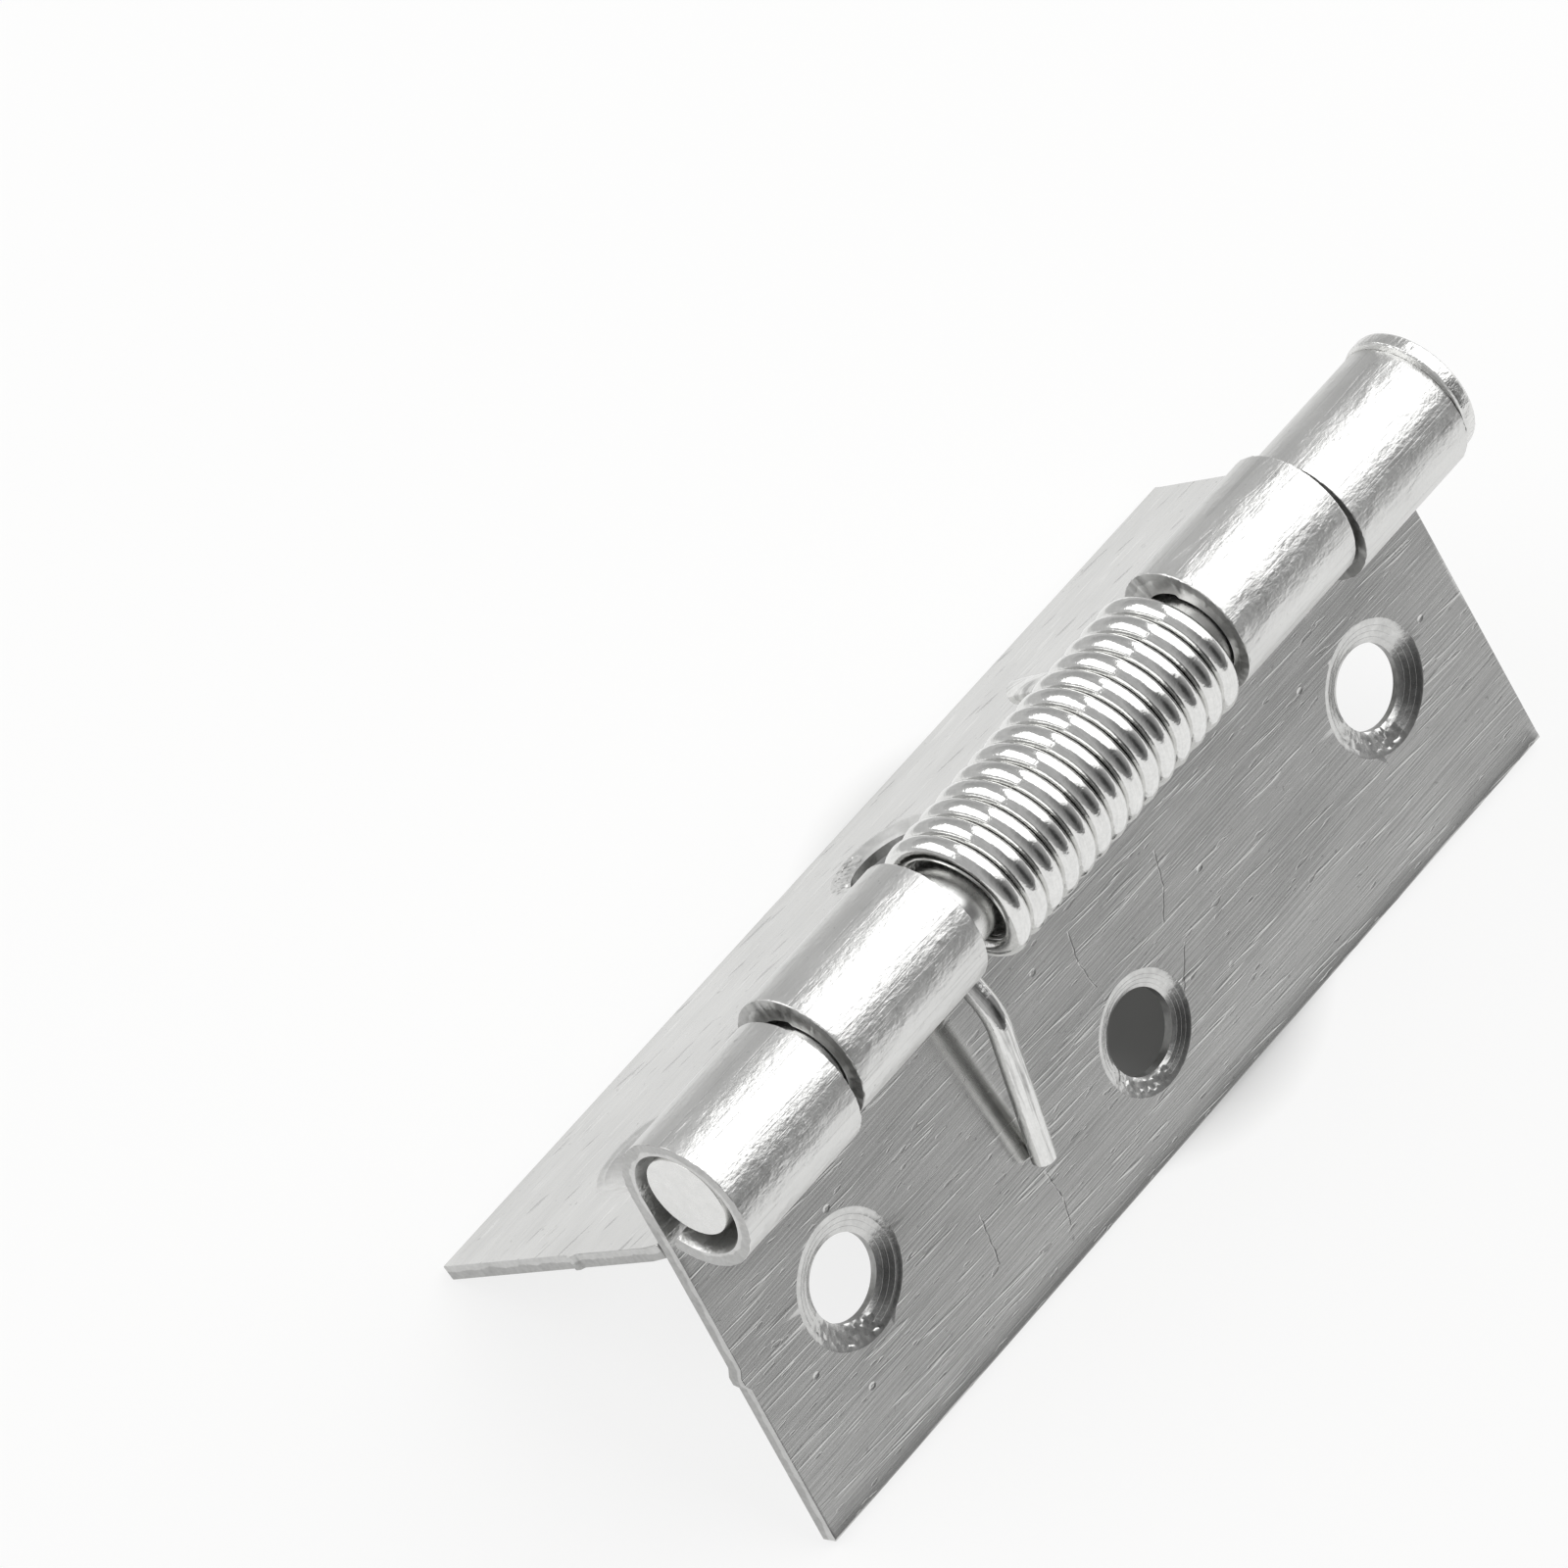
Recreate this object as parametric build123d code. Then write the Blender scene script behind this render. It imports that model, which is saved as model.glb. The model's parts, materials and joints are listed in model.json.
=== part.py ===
from build123d import *
import os
from math import acos, cos, radians, sin, sqrt, tan

# A spring loaded door hinge standing like a tent on the free edges of its two leaves.
# All lengths are in mm. X runs across the hinge, Y along its pin and Z up.
# The shapes are drawn about the pin's own axis, with Y = 0 at the plain end of the pin,
# and moved together to the part's origin at the very end.

# Leaves
leaf_length = 75.70
leaf_reach = 28.55
sheet = 1.10
half_angle = 38.5
leaf_near_edge = -0.15
front_near_edge_at_barrel = 0.05
front_far_edge_runs_out = 0.75
rear_far_edge_stands_out = 0.35
stop_clearance = 0.03

# Pin with a plain near end and a flat head at the far end
pin_radius = 3.00
pin_near_end = 0.10
pin_chamfer = 0.20
head_radius = 4.70
head_thickness = 1.25
head_edge = 0.35
head_clearance = 0.02

# Knuckles: rolled from the sheet round the pin, opening out a little towards the free end
front_roll_slack = 0.675
front_roll_hangs_at = -79.4
front_roll_clearance = 0.024
rear_roll_slack = 0.65
rear_roll_x = -0.40
rear_roll_z = 0.10
roll_opening = 0.30
opening_starts = 50.0
roll_wrap = 306.5

# Along the barrel, from its near end; the far inner knuckle fills what the rest leaves
near_end_knuckle = 11.20
near_gap = 1.00
near_inner_knuckle = 12.70
gap_before_coil = 1.27
gap_after_coil = 1.12
far_gap = 0.55
far_end_knuckle = 11.05

# Torsion spring
wire = 1.64
turn_gap = 0.066
coil_turns = 13.846
coil_on_pin_gap = 0.38
coil_x = -0.10
coil_z = 0.02
coil_lean = 0.9
leg_leaves_at = 242.2
leg_to_bend = 7.54
leg_bend_radius = 4.0
front_leg_down = 20.45
front_leg_spread = 0.64
rear_leg_down = 20.90
rear_leg_spread = 2.54
leg_clearance = 0.02

# Screw holes, countersunk from the outer face, placed in from each leaf's free edge
end_hole_from_edge = 12.45
middle_hole_from_edge = 8.00
near_hole_place = 10.07
far_hole_from_far_end = 9.30
middle_hole_place = 38.20
screw_radius = 2.85
end_sink_radius = 4.40
middle_sink_radius = 4.00
end_sink_depth = 0.70
middle_sink_depth = 0.52


class Side:
    """One leaf's own directions: down along the leaf and out from its countersunk face."""

    def __init__(self, hand, roll_x, roll_z, roll_radius):
        slope = radians(half_angle)
        self.down = Vector(hand * sin(slope), 0, -cos(slope))
        self.out = Vector(hand * cos(slope), 0, sin(slope))
        self.plane = Plane(origin=(0, 0, 0), x_dir=self.down, z_dir=(0, -hand, 0))
        roll = Vector(roll_x, 0, roll_z)
        self.roll_down = roll.dot(self.down)
        self.roll_out = roll.dot(self.out)
        self.radius = roll_radius
        self.back = self.roll_out - roll_radius
        self.face = self.back + sheet

    def at(self, down, out, y):
        return self.down * down + self.out * out + Vector(0, y, 0)


# The front knuckles hang from the pin, which almost touches the top of their bore.
drop = front_roll_slack - front_roll_clearance
hang = radians(front_roll_hangs_at)
snug = pin_radius + sheet
front = Side(1, drop * cos(hang), drop * sin(hang), snug + front_roll_slack)
rear = Side(-1, rear_roll_x, rear_roll_z, snug + rear_roll_slack)

# The knuckles and the spring follow one another along the pin.
near_end_stops = front_near_edge_at_barrel + near_end_knuckle
near_inner_starts = near_end_stops + near_gap
near_inner_stops = near_inner_starts + near_inner_knuckle
coil_radius = pin_radius + coil_on_pin_gap + wire / 2
coil_pitch = wire + turn_gap
coil_start = near_inner_stops + gap_before_coil + wire / 2
coil_end = coil_start + coil_pitch * coil_turns
far_inner_starts = coil_end + wire / 2 + gap_after_coil
barrel_end = front_near_edge_at_barrel + leaf_length
far_end_starts = barrel_end - far_end_knuckle
far_inner_stops = far_end_starts - far_gap

front_knuckles = [(front_near_edge_at_barrel, near_end_stops), (far_end_starts, barrel_end)]
rear_knuckles = [(near_inner_starts, near_inner_stops), (far_inner_starts, far_inner_stops)]
end_hole_places = [near_hole_place, barrel_end - far_hole_from_far_end]

# The rear leaf reaches as low as the front one, so the tent stands level on both.
foot = front.at(leaf_reach, front.back, 0).Z
rear_reach = -(foot - rear.back * rear.out.Z) / cos(radians(half_angle))

# Each leaf is cut back between its knuckles until it just clears the other leaf's back face.
cross = -cos(radians(2 * half_angle))
front_notch = (front.back * cross - rear.back + stop_clearance) / sin(radians(2 * half_angle))
rear_notch = (rear.back * cross - front.back + stop_clearance) / sin(radians(2 * half_angle))

head_face = barrel_end + head_clearance
far_end = head_face + head_thickness


def knuckle_profile(side, notch):
    """The rolled tab in cross-section, from the notch line round to its free end."""
    inner = side.radius - sheet
    start = radians(270)
    joint = radians(opening_starts)
    end = radians(270 - roll_wrap)
    centre = Vector(side.roll_down, side.roll_out)
    wide_centre = centre - Vector(cos(joint), sin(joint)) * roll_opening

    def on(middle, radius, angle):
        return middle + Vector(cos(angle), sin(angle)) * radius

    def arc(middle, radius, first, last):
        half = (first + last) / 2
        return ThreePointArc(
            on(middle, radius, first), on(middle, radius, half), on(middle, radius, last)
        )

    outer = side.radius
    wide = outer + roll_opening
    narrow = inner + roll_opening
    edges = [
        Line((notch, side.back), (centre.X, side.back)),
        arc(centre, outer, start, joint),
        arc(wide_centre, wide, joint, end),
        Line(on(wide_centre, wide, end), on(wide_centre, narrow, end)),
        arc(wide_centre, narrow, end, joint),
        arc(centre, inner, joint, start),
        Line((centre.X, side.face), (notch, side.face)),
        Line((notch, side.face), (notch, side.back)),
    ]
    return make_face(Wire(edges))


def knuckle(side, notch, first, last):
    """One rolled knuckle between two places along the pin."""
    profile = side.plane * knuckle_profile(side, notch)
    rolled = extrude(profile, amount=last - first, dir=(0, 1, 0))
    return Pos(0, first, 0) * rolled


def flat_leaf(side, outline):
    """The flat of a leaf: an outline of (down, y) corners, one sheet thick."""
    corners = [side.at(down, side.back, y) for down, y in outline]
    blank = make_face(Polyline(*corners, close=True))
    return extrude(blank, amount=sheet, dir=side.out)


def screw_hole(side, down, y, sink_radius, sink_depth):
    """Cutter for one countersunk screw hole."""
    slope = (sink_radius - screw_radius) / sink_depth
    proud = 0.5
    cutter = make_face(
        Polyline(
            (0, side.back - proud),
            (screw_radius, side.back - proud),
            (screw_radius, side.face - sink_depth),
            (sink_radius + slope * proud, side.face + proud),
            (0, side.face + proud),
            close=True,
        )
    )
    turned = revolve(cutter, axis=Axis.Y, revolution_arc=360)
    seat = Plane(origin=side.at(down, 0, y), x_dir=side.down, z_dir=side.down.cross(side.out))
    return seat * turned


def leaf(side, reach, outline, notch, knuckles):
    """A stamped leaf: the flat, its rolled knuckles and its three screw holes."""
    body = flat_leaf(side, outline)
    for first, last in knuckles:
        body += knuckle(side, notch, first, last)
    end_down = reach - end_hole_from_edge
    for place in end_hole_places:
        body -= screw_hole(side, end_down, place, end_sink_radius, end_sink_depth)
    middle_down = reach - middle_hole_from_edge
    body -= screw_hole(
        side, middle_down, middle_hole_place, middle_sink_radius, middle_sink_depth
    )
    return body.clean()


def front_leaf():
    """The leaf with the two end knuckles, a little longer at its free edge."""
    outline = [
        (front_notch, front_near_edge_at_barrel),
        (leaf_reach, leaf_near_edge),
        (leaf_reach, barrel_end + front_far_edge_runs_out),
        (front_notch, barrel_end),
    ]
    return leaf(front, leaf_reach, outline, front_notch, front_knuckles)


def rear_leaf():
    """The leaf with the two inner knuckles either side of the spring."""
    far_edge = barrel_end + rear_far_edge_stands_out
    outline = [
        (rear_notch, leaf_near_edge),
        (rear_reach, leaf_near_edge),
        (rear_reach, far_edge),
        (rear_notch, far_edge),
    ]
    return leaf(rear, rear_reach, outline, rear_notch, rear_knuckles)


def hinge_pin():
    """A plain round pin with a flat head as wide as the barrel."""
    profile = make_face(
        Polyline(
            (0, pin_near_end),
            (pin_radius - pin_chamfer, pin_near_end),
            (pin_radius, pin_near_end + pin_chamfer),
            (pin_radius, head_face),
            (head_radius - head_edge / 2, head_face),
            (head_radius, head_face + head_edge / 2),
            (head_radius, far_end - head_edge),
            (head_radius - head_edge, far_end),
            (0, far_end),
            close=True,
        )
    )
    return revolve(profile, axis=Axis.Y, revolution_arc=360)


def coil_path():
    """The close-wound turns, leaning slightly on the pin."""
    length = coil_pitch * coil_turns
    helix = Helix(pitch=coil_pitch, height=length, radius=coil_radius)
    along_pin = Rot(X=-90) * Rot(Z=-leg_leaves_at) * helix
    leaning = Rot(Z=coil_lean) * Pos(0, -length / 2, 0) * along_pin
    return Pos(coil_x, coil_start + length / 2, coil_z) * leaning


def leg_path(side, root, heading, down, y):
    """A straight run off the coil, one bend, and a straight leg down to the leaf's face."""
    corner = root + heading * leg_to_bend
    rise = wire / 2
    for _ in range(6):
        tip = side.at(down, side.face + leg_clearance + rise, y)
        leg = (tip - corner).normalized()
        rise = wire / 2 * sqrt(1 - leg.dot(side.out) ** 2)
    bend = acos(heading.dot(leg))
    run = leg_bend_radius * tan(bend / 2)
    first = corner - heading * run
    last = corner + leg * run
    inward = (leg - heading).normalized()
    middle = corner + inward * (leg_bend_radius / cos(bend / 2) - leg_bend_radius)
    return [Line(root, first), ThreePointArc(first, middle, last), Line(last, tip)]


def torsion_spring():
    """One wire: a leg on the front leaf, the coil round the pin, a leg on the rear leaf."""
    coil = coil_path().edge()
    front_y = coil_start - front_leg_spread
    rear_y = coil_end + rear_leg_spread
    front_leg = leg_path(front, coil @ 0, -(coil % 0), front_leg_down, front_y)
    rear_leg = leg_path(rear, coil @ 1, coil % 1, rear_leg_down, rear_y)
    section = Plane(origin=coil @ 0, z_dir=coil % 0) * Circle(wire / 2)
    solid = sweep(section, path=coil, is_frenet=True)
    for path in (front_leg, rear_leg):
        line = Wire(path)
        section = Plane(origin=line @ 0, z_dir=line % 0) * Circle(wire / 2)
        solid += sweep(section, path=line)
    return solid


# Middle of the whole part, and its lowest point, go to the origin.
widest_front = front.at(leaf_reach, front.face, 0).X
widest_rear = rear.at(rear_reach, rear.face, 0).X
to_origin = Pos(
    -(widest_front + widest_rear) / 2,
    -(leaf_near_edge + far_end) / 2,
    -foot,
)

if __name__ == "__main__":
    os.makedirs("parts", exist_ok=True)
    pieces = {
        "front_leaf": front_leaf(),
        "rear_leaf": rear_leaf(),
        "hinge_pin": hinge_pin(),
        "torsion_spring": torsion_spring(),
    }
    for name, shape in pieces.items():
        placed = to_origin * shape
        export_step(placed, f"parts/{name}.step")
        print(name, placed.bounding_box())
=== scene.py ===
import json
import random
from math import acos, atan2, cos, dist, pi, radians, sin, tan

import bmesh
import bpy
from mathutils import Matrix, Vector


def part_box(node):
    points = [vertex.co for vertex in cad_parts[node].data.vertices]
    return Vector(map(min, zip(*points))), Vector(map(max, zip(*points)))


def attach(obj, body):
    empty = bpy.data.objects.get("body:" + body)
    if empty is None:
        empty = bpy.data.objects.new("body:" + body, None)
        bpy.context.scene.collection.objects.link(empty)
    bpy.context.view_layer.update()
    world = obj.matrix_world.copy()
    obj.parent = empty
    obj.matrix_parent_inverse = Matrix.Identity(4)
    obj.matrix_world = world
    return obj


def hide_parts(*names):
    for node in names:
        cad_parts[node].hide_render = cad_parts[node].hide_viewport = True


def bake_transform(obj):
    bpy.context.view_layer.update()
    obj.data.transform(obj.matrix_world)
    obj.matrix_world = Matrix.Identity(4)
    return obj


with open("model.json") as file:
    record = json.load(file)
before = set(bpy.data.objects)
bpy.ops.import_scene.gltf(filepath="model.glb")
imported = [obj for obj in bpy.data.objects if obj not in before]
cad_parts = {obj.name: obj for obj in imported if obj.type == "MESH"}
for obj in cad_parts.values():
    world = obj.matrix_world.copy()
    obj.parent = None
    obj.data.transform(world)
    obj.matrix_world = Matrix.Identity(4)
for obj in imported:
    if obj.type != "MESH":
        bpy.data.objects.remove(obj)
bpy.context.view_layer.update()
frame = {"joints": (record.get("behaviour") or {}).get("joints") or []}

MM = 0.001

# Sizes of the hinge in mm, counted from the pin's axis, and along it from just before its plain end
SHEET = 1.10
HALF_ANGLE = radians(38.5)
PIN_RADIUS = 3.00
PIN_STARTS = 0.10
leaf_swing = frame["joints"][0]
axis_x, _, axis_z = leaf_swing["pos_m"]
plain_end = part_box("hinge_pin")[0].y
PIN_PLACE = Vector((axis_x, plain_end, axis_z)) / MM - Vector((0, PIN_STARTS, 0))
# Each leaf as it lies flat while it is made: X down the leaf, Y along the pin and Z out from the axis.
# Its near and far edges are given at its top and at its tip, and its knuckles by their two ends.
# The burr is a place down the near edge, half its length and how far it stands out.
# The clean holes, named by their place along the pin, have no chatter.
FRONT = {
    "hand": 1, "back": -5.0796, "roll": (0.5753, -0.3046), "radius": 4.775,
    "notch": 5.6933, "reach": 28.55,
    "near": (0.05, -0.15), "far": (75.75, 76.50),
    "tabs": [(0.05, 11.25), (64.70, 75.75)],
    "burr": (15.3, 0.8, 0.28), "clean_holes": (),
}
REAR = {
    "hand": -1, "back": -4.3747, "roll": (0.1707, 0.3753), "radius": 4.75,
    "notch": 6.2540, "reach": 29.1107,
    "near": (-0.15, -0.15), "far": (76.10, 76.10),
    "tabs": [(12.25, 24.95), (52.60, 64.15)],
    "burr": (15.2, 0.5, 0.20), "clean_holes": (10.07,),
}
# Each knuckle is rolled this many degrees, and opens out by a little over the last of them
ROLL_WRAP = 306.5
ROLL_OPENING = 0.30
OPENING_STARTS = 50.0
ROLL_STEPS = 80
OPENING_STEPS = 32
# Where the sheet is cut into rows of faces
ROWS_DOWN = (9, 12, 18, 21, 24, 27)
ROWS_ALONG = range(4, 76, 4)
# Each hole: up from the free edge, along the pin, then the countersink's radius and depth
HOLES = [(12.45, 10.07, 4.40, 0.56), (8.00, 38.20, 4.00, 0.42), (12.45, 66.45, 4.40, 0.60)]
SCREW_RADIUS = 2.85
HOLE_SPOKES = 120
# The cutter left a small ridge at each of these shares of a countersink's depth
RIDGES_AT = (0.75, 0.5, 0.25)
RIDGE = 0.008
# The countersinks are rough where the cutter chattered, on the side this far round from downhill
CHATTER_AT = radians(-40)
CHATTER_SPOKES = 15
CHATTER_SHARE = 0.4
CHATTER_PUSHES = (1.025, 0.975, 1.015)
# Fine scratches on the front leaf, each a start and an end in mm down the leaf and along the pin
SCRATCHES = [
    ((18.14, 44.13), (20.83, 42.17)),
    ((11.64, 45.35), (14.07, 44.66)), ((14.07, 44.66), (15.99, 43.32)),
    ((10.80, 36.61), (13.03, 36.22)), ((13.03, 36.22), (15.41, 36.55)),
    ((21.79, 26.54), (24.07, 26.81)), ((24.20, 26.80), (26.07, 26.31)),
    ((20.30, 20.72), (23.94, 20.25)),
]
# The near knuckle's mouth is flared over its first stretch, and the others' near rims are closed in
MOUTH_DEPTH = 0.60
MOUTH_FLARE = 0.16
RIM_CLEARANCE = 0.16
RIM_REACHES = (2.8, 1.9, 1.0)
# The rear leaf's notch corner lies in from its near edge
NOTCH_CORNER_IN = 0.22
NOTCH_CORNER_LENGTH = 1.2
# The shears left a low lip along each leaf's long free edge, rising from LIP_START to LIP_TOP
LIP_START = 0.55
LIP_TOP = 0.18
LIP_RISE = 0.035
# Edges sharper than this are rounded, and some points round the rolls' ends are pulled out of line
SHARP_ANGLE = radians(50)
EDGE_ROUNDING = 0.10
TORN_SHARE = 0.16
TORN_PULLS = (0.035, -0.03, 0.02)
cutter_marks = random.Random(8)
shear_marks = random.Random(3)


# Modelling helpers


def start_fresh():
    if bpy.context.object and bpy.context.object.mode != "OBJECT":
        bpy.ops.object.mode_set(mode="OBJECT")
    bpy.ops.object.select_all(action="DESELECT")


def pick(piece):
    start_fresh()
    piece.select_set(True)
    bpy.context.view_layer.objects.active = piece


def select(piece, wanted, kind="VERT"):
    """In edit mode, selects what the test is true for and nothing else."""
    bpy.context.tool_settings.mesh_select_mode = (kind == "VERT", kind == "EDGE", kind == "FACE")
    bpy.ops.mesh.select_all(action="DESELECT")
    mesh = bmesh.from_edit_mesh(piece.data)
    items = {"VERT": mesh.verts, "EDGE": mesh.edges, "FACE": mesh.faces}[kind]
    found = 0
    for item in items:
        if wanted(item):
            item.select_set(True)
            found += 1
    mesh.select_flush_mode()
    bmesh.update_edit_mesh(piece.data)
    return found


def shift(piece, wanted, by):
    """In edit mode, moves the points that the test is true for."""
    if select(piece, wanted):
        bpy.ops.transform.translate(value=by)


def spread(piece, wanted, factor, about):
    """In edit mode, scales the points that the test is true for, about a place."""
    if select(piece, wanted):
        bpy.ops.transform.resize(value=factor, center_override=about)


def stack_rings(rings, centre):
    """Draws a flat disc up through rings of (radius, height) in mm, like a turned shape."""
    bpy.ops.mesh.select_all(action="SELECT")
    for (r0, z0), (r1, z1) in zip(rings, rings[1:]):
        bpy.ops.mesh.extrude_region_move(TRANSFORM_OT_translate={"value": (0, 0, (z1 - z0) * MM)})
        bpy.ops.transform.resize(value=(r1 / r0, r1 / r0, 1), center_override=centre)


def middle(item):
    return sum((v.co for v in item.verts), Vector()) / len(item.verts)


def apply_modifier(piece, kind, **settings):
    modifier = piece.modifiers.new(kind.title(), kind)
    for key, value in settings.items():
        setattr(modifier, key, value)
    pick(piece)
    bpy.ops.object.modifier_apply(modifier=modifier.name)


def cut_across(place, normal):
    bpy.ops.mesh.select_all(action="SELECT")
    bpy.ops.mesh.bisect(plane_co=place, plane_no=normal)


def face_outwards(doubles=None):
    """In edit mode, merges doubled points if a distance is given, and turns every face outwards."""
    bpy.ops.mesh.select_all(action="SELECT")
    if doubles:
        bpy.ops.mesh.remove_doubles(threshold=doubles)
    bpy.ops.mesh.normals_make_consistent(inside=False)


# Finishes


class Value:
    """One socket of a finish. Sums written with it add Math nodes."""

    def __init__(self, finish, socket):
        self.finish = finish
        self.socket = socket

    def __add__(self, other):
        return self.finish.math("ADD", self, other)

    __radd__ = __add__

    def __mul__(self, other):
        return self.finish.math("MULTIPLY", self, other)

    __rmul__ = __mul__

    def __sub__(self, other):
        return self.finish.math("SUBTRACT", self, other)

    def __rsub__(self, other):
        return self.finish.math("SUBTRACT", other, self)

    def __truediv__(self, other):
        return self.finish.math("DIVIDE", self, other)


class Finish:
    """A node tree for one of the hinge's metals, or for what it stands on."""

    def __init__(self, tree):
        self.tree = tree
        self.tree.nodes.clear()

    def node(self, kind, settings=None, sockets=None, out=0):
        """Any node: its settings first, then values or links for its sockets."""
        made = self.tree.nodes.new(kind)
        for key, value in (settings or {}).items():
            setattr(made, key, value)
        for key, value in (sockets or {}).items():
            if isinstance(value, Value):
                self.tree.links.new(value.socket, made.inputs[key])
            else:
                made.inputs[key].default_value = value
        return Value(self, made.outputs[out]) if made.outputs else made

    def math(self, operation, *values):
        return self.node("ShaderNodeMath", {"operation": operation}, dict(enumerate(values)))

    def place(self):
        return self.node("ShaderNodeTexCoord", out="Object")

    def along(self, axis):
        """How far a point is from PIN_PLACE along X, Y or Z, in mm."""
        parts = self.node("ShaderNodeSeparateXYZ", sockets={0: self.place()}, out=axis)
        return parts / MM - PIN_PLACE["XYZ".index(axis)]

    def grey(self, tone):
        return self.node("ShaderNodeCombineColor", {"mode": "RGB"}, {0: tone, 1: tone, 2: tone * 0.985})

    def bump(self, height):
        """A relief given in mm."""
        return self.node("ShaderNodeBump", sockets={"Height": height, "Distance": MM})

    def metal(self, tone, roughness, normal):
        shader = self.node(
            "ShaderNodeBsdfPrincipled",
            sockets={
                "Base Color": self.grey(tone), "Metallic": 1.0,
                "Roughness": roughness, "Normal": normal,
            },
        )
        self.node("ShaderNodeOutputMaterial", sockets={"Surface": shader})

    def scaled(self, scale, turn=(0, 0, 0), moved=(0, 0, 0)):
        place = self.place()
        if any(turn):
            place = self.node("ShaderNodeMapping", sockets={"Vector": place, "Rotation": turn})
        return self.node(
            "ShaderNodeMapping", sockets={"Vector": place, "Scale": scale, "Location": moved}
        )

    def noise(self, scale, detail=2.0, roughness=0.5, moved=(0, 0, 0), turn=(0, 0, 0)):
        """Clouds, with so many to the metre along each direction."""
        return self.node(
            "ShaderNodeTexNoise",
            sockets={
                "Vector": self.scaled(scale, turn, moved), "Scale": 1.0,
                "Detail": detail, "Roughness": roughness,
            },
        )

    def spots(self, scale, size, rarity):
        """Small round marks strewn at random: 1 in a mark, 0 elsewhere."""
        sockets = {"Vector": self.scaled(scale), "Scale": 1.0}
        away = self.node("ShaderNodeTexVoronoi", sockets=sockets, out="Distance")
        tint = self.node("ShaderNodeTexVoronoi", sockets=sockets, out="Color")
        draw = self.node("ShaderNodeSeparateColor", sockets={0: tint})
        return self.between(away, size * 0.5, size, 1, 0) * self.between(draw, rarity, rarity + 0.02)

    def scratch(self, down, along, start, end, half):
        """1 on a thin line between two places, 0 elsewhere, wavering a little on its way."""
        length = dist(start, end)
        to_x = (end[0] - start[0]) / length
        to_y = (end[1] - start[1]) / length
        waver = (self.noise((1500, 1500, 1500), 1, 0.5) - 0.5) * 0.25
        on_way = (down - start[0]) * to_x + (along - start[1]) * to_y - length / 2
        off_way = (along - start[1]) * to_x - (down - start[0]) * to_y + waver
        near = self.between(self.math("ABSOLUTE", off_way), half * 0.5, half, 1, 0)
        return near * self.between(self.math("ABSOLUTE", on_way), length / 2 - 0.3, length / 2, 1, 0)

    def facing(self, direction, way):
        """How nearly a direction points one way: 1 when it does, 0 when it lies across."""
        return self.node(
            "ShaderNodeVectorMath", {"operation": "DOT_PRODUCT"},
            {0: direction, 1: Vector(way).normalized()}, "Value",
        )

    def between(self, value, low, high, to_low=0.0, to_high=1.0):
        """Goes from one level to another while the value goes from low to high, and holds outside."""
        return self.node(
            "ShaderNodeMapRange", {"clamp": True},
            {"Value": value, "From Min": low, "From Max": high, "To Min": to_low, "To Max": to_high},
        )


def finish_named(name):
    material = bpy.data.materials.new(name)
    material.use_nodes = True
    return material, Finish(material.node_tree)


def make_leaf_steel():
    """Rolled stainless sheet: short grain along the pin, scratches and nicks, and peened knuckles."""
    material, f = finish_named("grained_leaf_steel")
    hair = f.noise((6200, 150, 6200), 2, 0.6)
    grain = f.noise((2800, 60, 2800), 3, 0.65, (3, 1, 5))
    patch = f.noise((260, 90, 260), 3, 0.6, (9, 4, 2))
    scratch = f.noise((3400, 130, 3400), 1, 0.5, (7, 3, 1), (0.04, 0, 0.05))
    crossing = f.noise((3000, 200, 3000), 1, 0.5, (2, 9, 4), (-0.12, 0, 0.14))
    dent = f.noise((1300, 700, 1300), 3, 0.6, (5, 2, 7))
    speck = f.noise((4200, 2600, 4200), 2, 0.6, (1, 8, 3))
    worn = f.between(f.noise((420, 300, 420), 2, 0.6, (2, 7, 5)), 0.48, 0.64)
    drawn = f.between(f.noise((4200, 75, 4200), 1, 0.5, (8, 2, 4)), 0.63, 0.67)
    pitted = f.noise((2600, 2200, 2600), 2, 0.6, (6, 1, 2))
    nick = f.spots((430, 330, 430), 0.11, 0.80)
    x = f.along("X")
    z = f.along("Z")
    rolled = f.between(x * x + z * z, 30.0, 44.0, 1.0, 0.0)
    flat = 1 - rolled
    bright = f.between(scratch, 0.64, 0.71)
    dark = f.between(crossing, 0.31, 0.26)
    downhill = x * sin(HALF_ANGLE) - z * cos(HALF_ANGLE)
    y = f.along("Y")
    scratched = sum(f.scratch(downhill, y, start, end, 0.07) for start, end in SCRATCHES)
    scratched = scratched * f.between(x, 3.0, 4.0)
    tone = 0.66 + (hair - 0.5) * 0.09 + (grain - 0.5) * 0.06 + (patch - 0.5) * 0.20
    tone = tone + rolled * 0.10 + bright * flat * 0.07 - dark * flat * 0.12 - scratched * 0.22
    tone = tone - f.between(pitted, 0.68, 0.74) * 0.14 - drawn * rolled * 0.08
    rough = 0.20 + (patch - 0.5) * 0.14 + rolled * 0.17 + dark * 0.08
    height = hair * 0.004 + grain * 0.004 + bright * 0.006 - dark * 0.008 - nick * 0.022 - scratched * 0.016
    peened = dent * (worn * 0.060 + 0.030) + speck * 0.032 + grain * 0.022 - drawn * 0.006
    f.metal(tone, rough, f.bump(height + rolled * peened))
    return material


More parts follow.
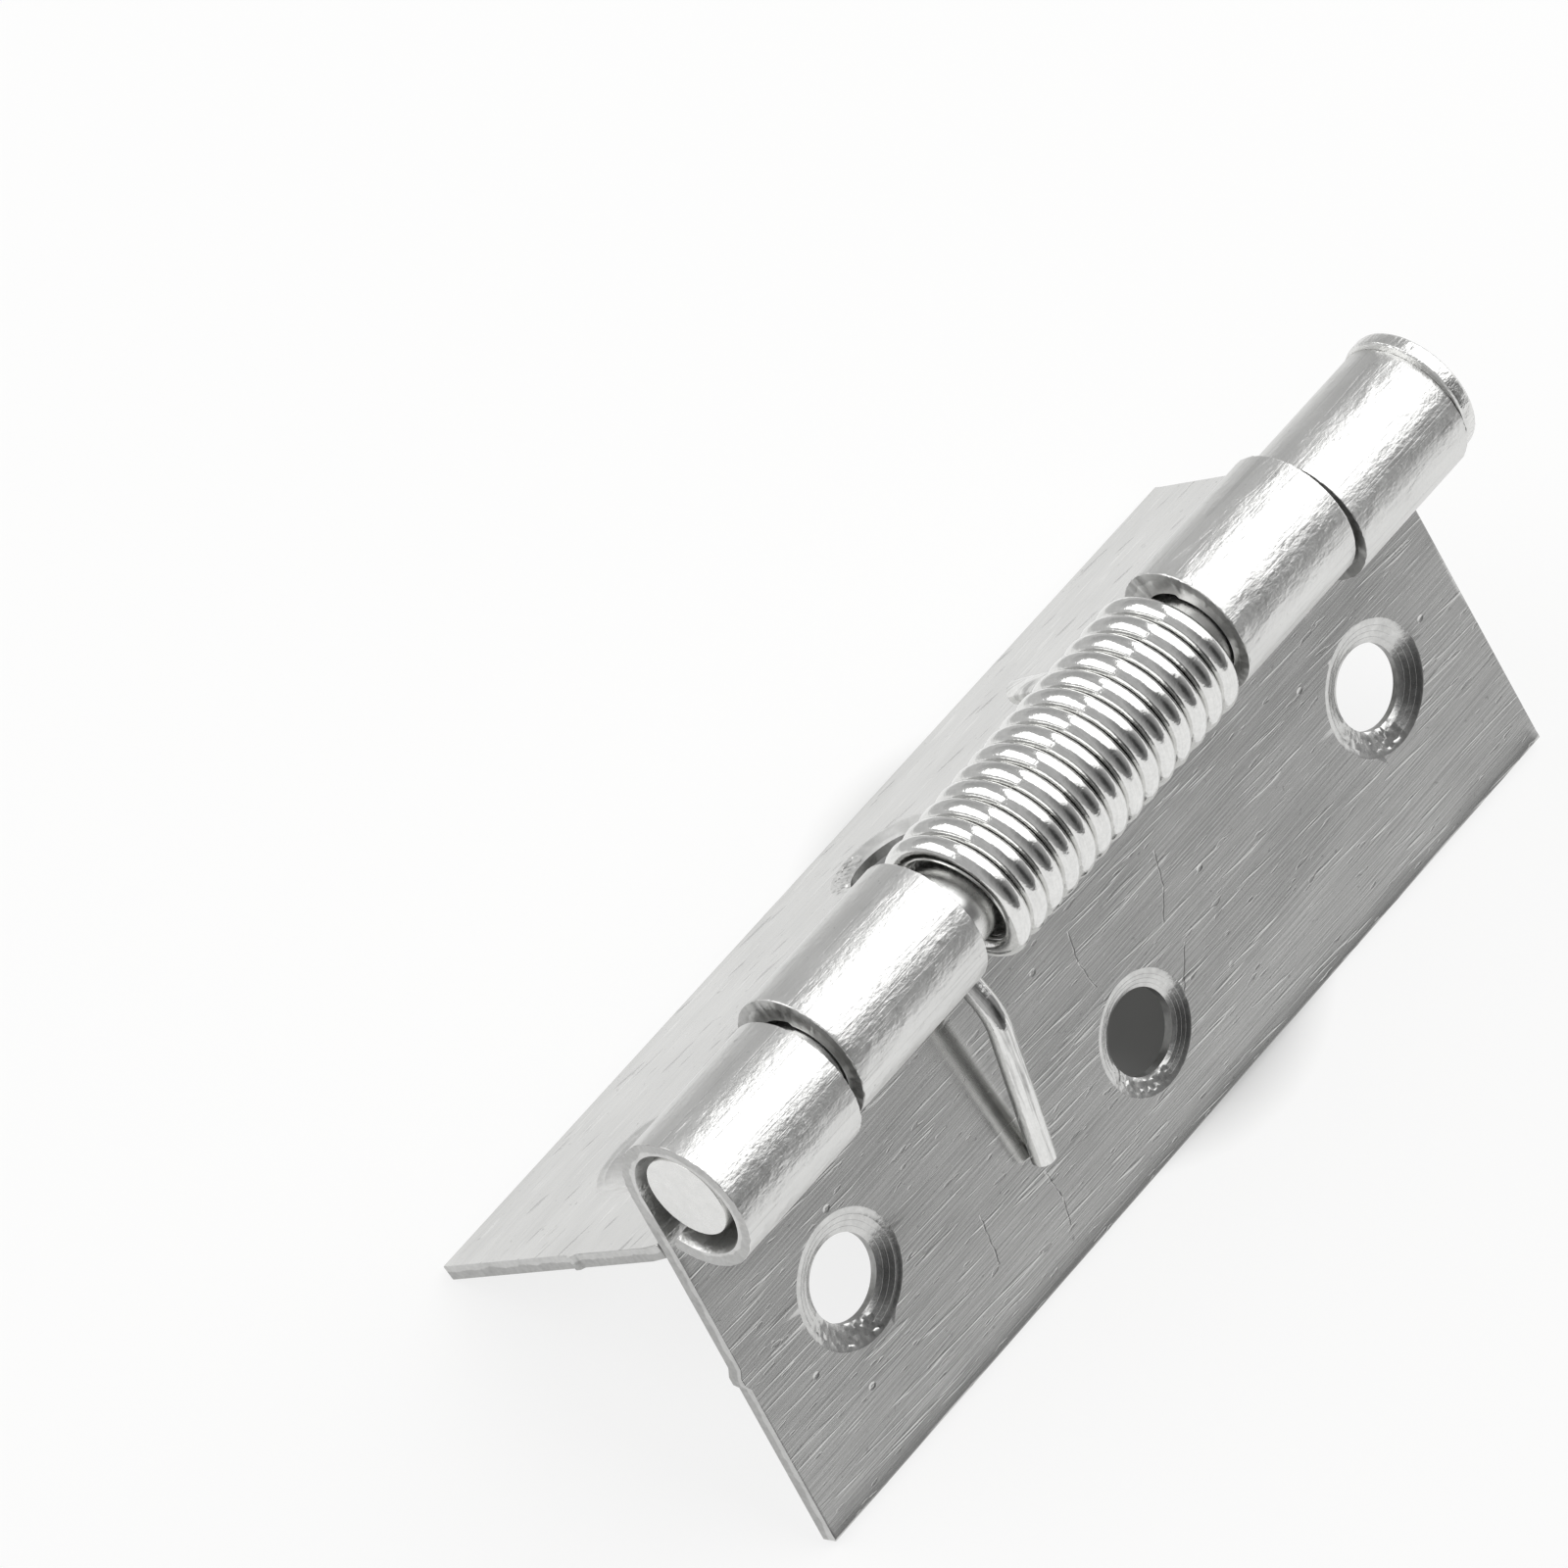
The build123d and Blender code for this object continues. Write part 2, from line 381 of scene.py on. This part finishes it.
def make_sheared_steel(side):
    """The cut edges of one leaf: smooth where the shear went in, torn and duller below."""
    material, f = finish_named("sheared_edge_steel")
    hand = side["hand"]
    roll_down, roll_out = side["roll"]
    x = f.along("X") * hand
    z = f.along("Z")
    out = x * cos(HALF_ANGLE) + z * sin(HALF_ANGLE) - side["back"]
    in_x = x - (sin(HALF_ANGLE) * roll_down + cos(HALF_ANGLE) * roll_out)
    in_z = z - (sin(HALF_ANGLE) * roll_out - cos(HALF_ANGLE) * roll_down)
    around = side["radius"] - f.math("SQRT", in_x * in_x + in_z * in_z)
    on_roll = f.between(around, -0.3, -0.1)
    deep = around * on_roll + out * (1 - on_roll)
    lines = f.noise((3000, 3000, 3000), 3, 0.65)
    patch = f.noise((600, 600, 600), 3, 0.6, (2, 6, 1))
    torn = f.between(deep + (patch - 0.5) * 0.8, 0.62, 0.70, 1.0, 0.0)
    tone = 0.55 + on_roll * 0.07 - torn * 0.10 + (lines - 0.5) * 0.22 + (patch - 0.5) * 0.18
    rough = 0.34 + torn * 0.16 + (patch - 0.5) * 0.2
    f.metal(tone, rough, f.bump(lines * 0.010 + lines * torn * 0.012 + patch * 0.03))
    return material


def make_turned_steel():
    """The countersinks, turned fairly smooth. The rear leaf's are less polished, and their tone is painted
    paler: painted light.
    """
    material, f = finish_named("turned_hole_steel")
    mottle = f.noise((2400, 2400, 2400), 3, 0.6)
    patch = f.noise((700, 700, 700), 3, 0.6, (4, 4, 1))
    rear = f.between(f.along("X"), -1.0, 1.0, 1.0, 0.0)
    # The rear leaf's countersinks are painted paler than the front's, as painted light, and are made
    # rougher.
    tone = 0.62 + rear * 0.14 + (mottle - 0.5) * 0.20 + (patch - 0.5) * 0.30
    rough = 0.20 + rear * 0.22 + (patch - 0.5) * 0.12
    f.metal(tone, rough, f.bump(mottle * 0.010 + patch * 0.030))
    return material


def make_punched_steel():
    """The straight walls of the screw holes, dull from the punch."""
    material, f = finish_named("punched_hole_steel")
    mottle = f.noise((1800, 1800, 1800), 3, 0.6, (1, 5, 2))
    f.metal(0.36 + (mottle - 0.5) * 0.30, 0.40, f.bump(mottle * 0.05))
    return material


def make_pin_steel():
    """Bright drawn wire: lines along it, and a softly mottled end and head."""
    material, f = finish_named("drawn_pin_steel")
    drawn = f.noise((5200, 70, 5200), 3, 0.6)
    mottle = f.noise((1300, 1300, 1300), 1, 0.5, (9, 4, 2))
    pressed = f.noise((1500, 800, 1500), 3, 0.65, (4, 4, 6))
    head = f.between(f.along("Y"), 75.6, 75.9)
    tone = 0.76 + (drawn - 0.5) * 0.08 + (mottle - 0.5) * 0.12 + head * (pressed - 0.5) * 0.40
    height = drawn * 0.003 + mottle * 0.010 + head * pressed * 0.11
    f.metal(tone, 0.26 + (mottle - 0.5) * 0.12, f.bump(height))
    return material


def make_wire_steel():
    """Polished spring wire, with faint lines round the coil and stronger ones down the legs."""
    material, f = finish_named("polished_spring_wire")
    lines = f.noise((500, 9000, 500), 2, 0.5)
    mottle = f.noise((900, 900, 900), 3, 0.6, (9, 4, 2))
    fleck = f.noise((3200, 3200, 3200), 2, 0.6, (3, 5, 8))
    streak = f.noise((220, 3600, 220), 2, 0.6, (5, 1, 4))
    x = f.along("X")
    z = f.along("Z")
    leg = f.between(x * x + z * z, 28.0, 36.0)
    tone = 0.77 + (lines - 0.5) * 0.14 + (mottle - 0.5) * 0.10 + (fleck - 0.5) * 0.16
    tone = tone - leg * f.between(streak, 0.46, 0.66) * 0.34
    rough = 0.12 + (mottle - 0.5) * 0.08
    height = lines * 0.0012 + mottle * 0.030 + fleck * 0.009 + leg * streak * 0.016
    f.metal(tone, rough, f.bump(height))
    return material


leaf_steel = make_leaf_steel()
turned_steel = make_turned_steel()
punched_steel = make_punched_steel()
pin_steel = make_pin_steel()
wire_steel = make_wire_steel()


# Leaves


def leaf_sheet(name, side):
    """The bent back face of a leaf, lying flat: X down the leaf, Y along the pin, Z outwards."""
    hand = side["hand"]
    start_fresh()
    bpy.ops.mesh.primitive_plane_add(size=1)
    piece = bpy.context.object
    piece.name = name
    near_top, near_tip = (y * hand * MM for y in side["near"])
    far_top, far_tip = (y * hand * MM for y in side["far"])
    top = side["notch"] * MM
    tip = side["reach"] * MM
    back = side["back"] * MM
    bpy.ops.object.mode_set(mode="EDIT")
    for x, y, place in (
        (-0.5, -0.5, (top, near_top, back)), (-0.5, 0.5, (top, far_top, back)),
        (0.5, -0.5, (tip, near_tip, back)), (0.5, 0.5, (tip, far_tip, back)),
    ):
        corner = Vector((x, y * hand, 0))
        shift(piece, lambda v: (v.co - corner).length < 0.1, Vector(place) - corner)
    ends = {y for tab in side["tabs"] for y in tab}
    places = sorted(ends | {side["tabs"][0][0] + MOUTH_DEPTH} | set(ROWS_ALONG))
    for y in places:
        cut_across((0, y * hand * MM, 0), (0, 1, 0))
    burr, half, proud = side["burr"]
    burr_cuts = (burr - half, burr - 0.35 * half, burr + 0.4 * half, burr + half)
    lip_cuts = (side["reach"] - LIP_START, side["reach"] - LIP_TOP)
    for x in ROWS_DOWN + burr_cuts + lip_cuts:
        cut_across((x * MM, 0, 0), (1, 0, 0))
    shift(
        piece,
        lambda v: abs(v.co.x / MM - burr) < 0.6 * half and abs(v.co.y) < 0.5 * MM,
        (0, -hand * proud * MM, 0),
    )
    if side is REAR:
        cut_across(((side["notch"] + NOTCH_CORNER_LENGTH) * MM, 0, 0), (1, 0, 0))
        corner = Vector((top, near_top, back))
        shift(piece, lambda v: (v.co - corner).length < 0.02 * MM, (0, hand * NOTCH_CORNER_IN * MM, 0))
    roll_x, roll_z = side["roll"]
    centre = Vector((roll_x, 0, roll_z)) * MM
    joint = radians(OPENING_STARTS)
    wide = centre - Vector((cos(joint), 0, sin(joint))) * ROLL_OPENING * MM
    for first, last in side["tabs"]:
        low, high = sorted((first * hand, last * hand))

        def on_tab(edge):
            at = middle(edge)
            lies_along = abs(edge.verts[0].co.x - edge.verts[1].co.x) < 1e-6
            return lies_along and abs(at.x - top) < 1e-6 and low * MM < at.y < high * MM

        select(piece, on_tab, "EDGE")
        bpy.ops.mesh.extrude_region_move(TRANSFORM_OT_translate={"value": (centre.x - top, 0, 0)})
        round_turn = radians(270 - OPENING_STARTS)
        bpy.ops.mesh.spin(steps=ROLL_STEPS, angle=round_turn, center=centre, axis=(0, -1, 0))
        last_turn = radians(ROLL_WRAP) - round_turn
        bpy.ops.mesh.spin(steps=OPENING_STEPS, angle=last_turn, center=wide, axis=(0, -1, 0))
    face_outwards(1e-6)
    select(piece, lambda f: middle(f).x > 20 * MM and f.normal.z < 0, "FACE")
    if any(f.select for f in bmesh.from_edit_mesh(piece.data).faces):
        bpy.ops.mesh.select_all(action="SELECT")
        bpy.ops.mesh.flip_normals()
    bpy.ops.object.mode_set(mode="OBJECT")
    return piece


def hole_cutter(side, down, y, sink_radius, sink_depth):
    """A drill and countersink in one, with the ridges its cutter left and a rounded rim."""
    back = side["back"]
    face = back + SHEET
    slope = (sink_radius - SCREW_RADIUS) / sink_depth
    rings = [
        (SCREW_RADIUS, back - 0.5),
        (SCREW_RADIUS, face - sink_depth - 0.04),
        (SCREW_RADIUS + 0.04 * slope, face - sink_depth + 0.02),
    ]
    for share in RIDGES_AT:
        deep = sink_depth * share
        for ridge in (-RIDGE, RIDGE):
            rings.append((sink_radius - deep * slope + ridge, face - deep - ridge / 4))
    rings += [
        (sink_radius - 0.05 * slope, face - 0.05),
        (sink_radius + 0.04, face - 0.015),
        (sink_radius + 0.13, face + 0.002),
        (sink_radius + 0.20, face + 0.30),
    ]
    start_fresh()
    place = (down * MM, y * side["hand"] * MM, rings[0][1] * MM)
    bpy.ops.mesh.primitive_circle_add(
        vertices=HOLE_SPOKES, radius=SCREW_RADIUS * MM, fill_type="NGON", location=place
    )
    cutter = bpy.context.object
    bpy.ops.object.transform_apply(location=True)
    bpy.ops.object.mode_set(mode="EDIT")
    stack_rings(rings, place)

    def spoke(v):
        turn = atan2(v.co.y - place[1], v.co.x - place[0])
        return round(turn / (2 * pi) * HOLE_SPOKES) % HOLE_SPOKES

    worst = round(side["hand"] * CHATTER_AT / (2 * pi) * HOLE_SPOKES)
    half = 0 if y in side["clean_holes"] else CHATTER_SPOKES
    rough_side = {k % HOLE_SPOKES for k in range(worst - half, worst + half)}

    def chattered(v):
        on_cone = (face - sink_depth) * MM < v.co.z < (face - 0.04) * MM
        return on_cone and spoke(v) in rough_side and cutter_marks.random() < CHATTER_SHARE

    for push in CHATTER_PUSHES:
        spread(cutter, chattered, (push, push, 1), place)
    face_outwards()
    for finish in (turned_steel, punched_steel):
        cutter.data.materials.append(finish)
    select(cutter, lambda f: middle(f).z < (face - sink_depth - 0.05) * MM, "FACE")
    cutter.active_material_index = 1
    bpy.ops.object.material_slot_assign()
    bpy.ops.object.mode_set(mode="OBJECT")
    return cutter


def put_in_place(piece, side):
    """Turns a leaf from lying flat to its slope, and moves it to the pin."""
    hand = side["hand"]
    down = Vector((hand * sin(HALF_ANGLE), 0, -cos(HALF_ANGLE)))
    out = Vector((hand * cos(HALF_ANGLE), 0, sin(HALF_ANGLE)))
    along = Vector((0, hand, 0))
    turn = Matrix((down, along, out)).transposed().to_4x4()
    piece.matrix_world = Matrix.Translation(PIN_PLACE * MM) @ turn
    pick(piece)
    bpy.ops.object.transform_apply(location=True, rotation=True, scale=True)


def work_edges(piece, side):
    """Shapes the rolls' ends, rounds every sharp edge, and leaves the ends a little torn."""
    hand = side["hand"]
    roll = Vector(side["roll"])
    centre = Vector((roll.x, 0, roll.y)) * MM
    bore = side["radius"] - SHEET

    def from_roll(v):
        return (Vector((v.co.x, v.co.z)) / MM - roll).length

    def on_bore_at(v, y):
        return abs(v.co.y / MM - y * hand) < 0.02 and abs(from_roll(v) - bore) < 0.5

    near_ends = [tab[0] for tab in side["tabs"]]
    if side is FRONT:
        flare = (bore + MOUTH_FLARE) / bore
        mouth = near_ends.pop(0)
        spread(piece, lambda v: on_bore_at(v, mouth), (flare, 1, flare), centre)
    shrink = ((PIN_RADIUS + RIM_CLEARANCE) / bore) ** (1 / 3)
    for y in near_ends:
        for reach in RIM_REACHES:
            def inner_rim(v):
                return on_bore_at(v, y) and v.co.x / MM < roll.x + reach
            spread(piece, inner_rim, (shrink, 1, shrink), centre)
            bpy.ops.transform.translate(value=-centre / 3)

    def on_lip(v):
        past = v.co.x / MM > side["reach"] - LIP_TOP - 0.01
        return past and v.co.z / MM > side["back"] + SHEET - 0.01

    shift(piece, on_lip, (0, 0, LIP_RISE * MM))

    def sharp(edge):
        return len(edge.link_faces) == 2 and edge.calc_face_angle(0) > SHARP_ANGLE

    select(piece, sharp, "EDGE")
    bpy.ops.mesh.bevel(offset=EDGE_ROUNDING * MM, segments=3, affect="EDGES", clamp_overlap=True)

    def torn(v):
        outside = from_roll(v) > side["radius"] - 0.12 and v.co.x < (side["notch"] - 0.5) * MM
        at_end = any(abs(v.co.y / MM - y * hand) < 0.13 for tab in side["tabs"] for y in tab)
        return outside and at_end and shear_marks.random() < TORN_SHARE

    for pull in TORN_PULLS:
        shift(piece, torn, (pull * 0.5 * MM, pull * hand * MM, pull * 0.5 * MM))


def make_leaf(name, side):
    piece = leaf_sheet(name, side)
    for finish in (leaf_steel, make_sheared_steel(side), turned_steel, punched_steel):
        piece.data.materials.append(finish)
    apply_modifier(
        piece, "SOLIDIFY", thickness=SHEET * MM, offset=1, use_even_offset=True,
        material_offset_rim=1,
    )
    pick(piece)
    bpy.ops.object.mode_set(mode="EDIT")
    work_edges(piece, side)
    bpy.ops.object.mode_set(mode="OBJECT")
    for from_edge, y, sink_radius, sink_depth in HOLES:
        cutter = hole_cutter(side, side["reach"] - from_edge, y, sink_radius, sink_depth)
        apply_modifier(
            piece, "BOOLEAN", operation="DIFFERENCE", solver="EXACT", object=cutter,
            material_mode="TRANSFER",
        )
        bpy.data.objects.remove(cutter)
    put_in_place(piece, side)
    bpy.ops.object.shade_smooth_by_angle(angle=radians(35))
    apply_modifier(piece, "WEIGHTED_NORMAL", keep_sharp=True)
    return piece


# Pin

PIN_SPOKES = 96
# The pin's radius and the place along it, from its chamfered plain end to the pressed head
PIN_OUTLINE = [
    (2.80, PIN_STARTS), (2.93, 0.14), (PIN_RADIUS, 0.28),
    (PIN_RADIUS, 25.0), (PIN_RADIUS, 50.0), (PIN_RADIUS, 75.77),
    (4.34, 75.77), (4.56, 75.82), (4.67, 75.93), (4.70, 76.06), (4.70, 76.67),
    (4.66, 76.82), (4.56, 76.93), (4.35, 77.00), (4.00, 77.02), (2.0, 77.02),
]


def make_pin():
    """A plain round pin, chamfered at its near end, with a pressed flat head at the far end."""
    start_fresh()
    end_radius = PIN_OUTLINE[0][0] * MM
    bpy.ops.mesh.primitive_circle_add(vertices=PIN_SPOKES, radius=end_radius, fill_type="NGON")
    pin = bpy.context.object
    pin.name = "bright_pin"
    bpy.ops.object.mode_set(mode="EDIT")
    stack_rings(PIN_OUTLINE, (0, 0, 0))
    face_outwards()
    bpy.ops.object.mode_set(mode="OBJECT")
    pin.rotation_euler = (-pi / 2, 0, 0)
    pin.location = (PIN_PLACE + Vector((0, PIN_STARTS, 0))) * MM
    pick(pin)
    bpy.ops.object.transform_apply(location=True, rotation=True, scale=True)
    bpy.ops.object.shade_smooth_by_angle(angle=radians(30))
    return pin


# Torsion spring

# In mm from the pin's axis. Each leg runs from the coil's end to a corner and on to its tip
WIRE = 1.64
COIL_RADIUS = 4.20
COIL_PITCH = 1.724
COIL_TURNS = 13.846
COIL_START = 27.04
COIL_OFF_AXIS = (-0.10, 0.02)
COIL_LEAN = radians(0.9)
COIL_STARTS_AT = radians(242.2)
COIL_STEPS = 900
LEG_BEND = 4.0
LEG_BEND_STEPS = 12
FRONT_LEG = ((-1.873, 27.011, -3.695), (4.790, 26.629, -7.204), (10.260, 26.400, -17.969))
REAR_LEG = ((1.663, 50.690, -3.701), (-5.010, 51.072, -7.191), (-11.098, 53.200, -17.878))


def add_leg(line, end, leg):
    """Runs the wire on from one end of the coil: straight, round one bend, straight."""
    root, corner, tip = (Vector(p) for p in leg)
    heading = (corner - root).normalized()
    onward = (tip - corner).normalized()
    bend = acos(heading.dot(onward))
    run = LEG_BEND * tan(bend / 2)
    first = corner - heading * run
    inward = (onward - heading).normalized()
    centre = corner + inward * (LEG_BEND / cos(bend / 2))
    axis = onward.cross(heading).normalized()

    def at_end(v):
        return (v.co - end).length < 1e-7

    select(line, at_end)
    bpy.ops.mesh.extrude_region_move(TRANSFORM_OT_translate={"value": (first + PIN_PLACE) * MM - end})
    bpy.ops.mesh.spin(
        steps=LEG_BEND_STEPS, angle=bend, center=(centre + PIN_PLACE) * MM, axis=axis
    )
    mesh = bmesh.from_edit_mesh(line.data)
    now = next(v.co.copy() for v in mesh.verts if v.select)
    bpy.ops.mesh.extrude_region_move(TRANSFORM_OT_translate={"value": (tip + PIN_PLACE) * MM - now})


def make_spring():
    """One wire from leg to leg: a screwed point makes its line, and a round section fills it."""
    start_fresh()
    bpy.ops.mesh.primitive_circle_add(vertices=3, radius=0.1 * MM)
    line = bpy.context.object
    line.name = "coiled_spring"
    bpy.ops.object.mode_set(mode="EDIT")
    select(line, lambda v: True)
    bpy.ops.mesh.merge(type="CENTER")
    start = Vector((cos(-COIL_STARTS_AT), sin(-COIL_STARTS_AT), 0)) * COIL_RADIUS * MM
    bpy.ops.transform.translate(value=start)
    bpy.ops.object.mode_set(mode="OBJECT")
    length = COIL_PITCH * COIL_TURNS
    apply_modifier(
        line, "SCREW", axis="Z", angle=COIL_TURNS * 2 * pi, screw_offset=length * MM,
        steps=COIL_STEPS, render_steps=COIL_STEPS, use_merge_vertices=False,
    )
    x, z = COIL_OFF_AXIS
    line.matrix_world = (
        Matrix.Translation((PIN_PLACE + Vector((x, COIL_START + length / 2, z))) * MM)
        @ Matrix.Rotation(COIL_LEAN, 4, "Z")
        @ Matrix.Translation((0, -length / 2 * MM, 0))
        @ Matrix.Rotation(-pi / 2, 4, "X")
    )
    pick(line)
    bpy.ops.object.transform_apply(location=True, rotation=True, scale=True)
    ends = [line.data.vertices[0].co.copy(), line.data.vertices[-1].co.copy()]
    ends.sort(key=lambda p: p.y)
    bpy.ops.object.mode_set(mode="EDIT")
    add_leg(line, ends[0], FRONT_LEG)
    add_leg(line, ends[1], REAR_LEG)
    bpy.ops.object.mode_set(mode="OBJECT")
    bpy.ops.object.convert(target="CURVE")
    line.data.dimensions = "3D"
    line.data.bevel_depth = WIRE / 2 * MM
    line.data.bevel_resolution = 6
    line.data.use_fill_caps = True
    bpy.ops.object.convert(target="MESH")
    bpy.ops.object.mode_set(mode="EDIT")
    face_outwards(1e-7)
    bpy.ops.object.mode_set(mode="OBJECT")
    bpy.ops.object.shade_smooth_by_angle(angle=radians(40))
    return line


# The hinge


def dress(piece, material):
    piece.data.materials.clear()
    piece.data.materials.append(material)


front_leaf = make_leaf("front_leaf_dressed", FRONT)
rear_leaf = make_leaf("rear_leaf_dressed", REAR)
pin = make_pin()
spring = make_spring()

for piece, body, node, slot, material in (
    (front_leaf, "fixed_side", "front_leaf", "leaf_steel", None),
    (rear_leaf, "swinging_side", "rear_leaf", "leaf_steel", None),
    (pin, "fixed_side", "hinge_pin", "pin_steel", pin_steel),
    (spring, None, "torsion_spring", "spring_steel", wire_steel),
):
    if material:
        dress(piece, material)
    if body:
        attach(piece, body)
    else:
        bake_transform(piece)
    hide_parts(node)


# Floor, light and camera

WHITE = (1, 1, 1, 1)
FLOOR_SIZE = 8
# The deepest painted shade on the floor, in mm: how far along the pin it is, and its half sizes
PAINTED_SHADE_PLACE = 44.0
PAINTED_SHADE_ACROSS = 18.0
PAINTED_SHADE_ALONG = 17.0
# In the hinge's reflections the floor is painted darker to the left, a painted reflection, in mm from the
# pin
DIM_STARTS = -46.0
DIM_ENDS = -62.0
DIM_BY = 0.42
# The room's light where it is plain and where it is darkest, and the way to its darkest part.
# It is a little darker low on the left as well.
ROOM_LEVEL = 0.50
DARK_LEVEL = 0.16
DARK_WAY = (0.88, 0.05, 0.45)
LOW_LEFT_WAY = (-0.85, 0.49, 0.10)
# Each softbox: its place, the directions that its two sides lie along, their lengths and its level
BACK_SIDES = ((0.982, 0.189, 0), (-0.164, 0.85, -0.5))
LEFT_SIDES = ((0.68, -0.40, 0.62), (-0.12, 0.78, 0.62))
SOFTBOXES = {
    "back_softbox": ((-0.012, 0.491, 0.38), *BACK_SIDES, 0.64, 1.11, 1.6),
    "back_softbox_edge": ((0.342, 0.559, 0.38), *BACK_SIDES, 0.08, 1.11, 0.7),
    "left_softbox": ((-0.386, -0.266, 0.316), *LEFT_SIDES, 0.50, 0.50, 1.6),
}
SENSOR_WIDTH = 36.0
LENS = 276.66
CAMERA_PLACE = (0.17292, -0.36975, 0.63912)
CAMERA_RIGHT = (0.8002, 0.5906, 0.1036)
CAMERA_FORWARD = (-0.2524, 0.4885, -0.8353)


def make_floor():
    """White paper that keeps the hinge's shadow, with painted shade in its colour as well, deepest under
    its middle, far from both open ends.
    """
    start_fresh()
    bpy.ops.mesh.primitive_plane_add(size=FLOOR_SIZE)
    floor = bpy.context.object
    floor.name = "floor"
    material, f = finish_named("white_floor")
    seen = f.node("ShaderNodeLightPath", out="Is Camera Ray")
    mirrored = f.node("ShaderNodeLightPath", out="Is Glossy Ray")
    x = f.along("X")
    y = f.along("Y") - PAINTED_SHADE_PLACE
    away = x * x / PAINTED_SHADE_ACROSS**2 + y * y / PAINTED_SHADE_ALONG**2
    # Under the hinge's middle less of the white glow is shown, and the paper's colour is painted darker
    # there: painted shade.
    shown = f.math("MAXIMUM", seen, mirrored) * f.between(away, 0.35, 1.0, 0.02, 0.8)
    # Only in reflections, the paper's colour and its glow are painted darker to the left: a painted
    # reflection.
    painted_reflection_dim = 1 - mirrored * f.between(x, DIM_STARTS, DIM_ENDS, 0.0, DIM_BY)
    paper = f.node(
        "ShaderNodeBsdfDiffuse",
        sockets={"Color": f.grey(f.between(away, 0.35, 1.0, 0.30, 0.85) * painted_reflection_dim)},
    )
    white = f.node("ShaderNodeEmission", sockets={"Color": WHITE, "Strength": painted_reflection_dim})
    both = f.node("ShaderNodeMixShader", sockets={0: shown, 1: paper, 2: white})
    f.node("ShaderNodeOutputMaterial", sockets={"Surface": both})
    dress(floor, material)


def make_world():
    """A grey room, darkest to the right of the hinge and white where the camera looks past it."""
    world = bpy.data.worlds.new("studio")
    bpy.context.scene.world = world
    world.use_nodes = True
    f = Finish(world.node_tree)
    direction = f.node("ShaderNodeTexCoord", out="Generated")
    towards = f.facing(direction, DARK_WAY)
    level = f.between(towards, 0.50, 0.95, ROOM_LEVEL, DARK_LEVEL)
    level = level * f.between(towards, 0.93, 0.99, 1.0, 0.35)
    level = level * f.between(f.facing(direction, LOW_LEFT_WAY), 0.80, 0.97, 1.0, 0.85)
    seen = f.node("ShaderNodeLightPath", out="Is Camera Ray")
    level = level * (1 - seen) + seen
    sky = f.node("ShaderNodeBackground", sockets={"Color": WHITE, "Strength": level})
    f.node("ShaderNodeOutputWorld", sockets={"Surface": sky})


def softbox(name, place, across, along, width, height, level):
    """A square lamp of an even brightness, its sides lying along two directions."""
    lamp = bpy.data.lights.new(name, "AREA")
    lamp.shape = "RECTANGLE"
    lamp.size = width
    lamp.size_y = height
    lamp.energy = level * pi * width * height
    piece = bpy.data.objects.new(name, lamp)
    bpy.context.scene.collection.objects.link(piece)
    side = Vector(across).normalized()
    back = side.cross(Vector(along)).normalized()
    turn = Matrix((side, back.cross(side), back)).transposed().to_4x4()
    piece.matrix_world = Matrix.Translation(place) @ turn


def make_camera():
    camera = bpy.data.objects.new("camera", bpy.data.cameras.new("camera"))
    bpy.context.scene.collection.objects.link(camera)
    camera.data.sensor_width = SENSOR_WIDTH
    camera.data.lens = LENS
    camera.data.clip_start = 0.01
    camera.data.clip_end = 20
    right = Vector(CAMERA_RIGHT).normalized()
    forward = Vector(CAMERA_FORWARD).normalized()
    up = right.cross(forward).normalized()
    right = forward.cross(up)
    turn = Matrix((right, up, -forward)).transposed().to_4x4()
    camera.matrix_world = Matrix.Translation(CAMERA_PLACE) @ turn
    bpy.context.scene.camera = camera


make_floor()
make_world()
for name, sizes in SOFTBOXES.items():
    softbox(name, *sizes)
make_camera()
bpy.context.scene.view_settings.view_transform = "Standard"
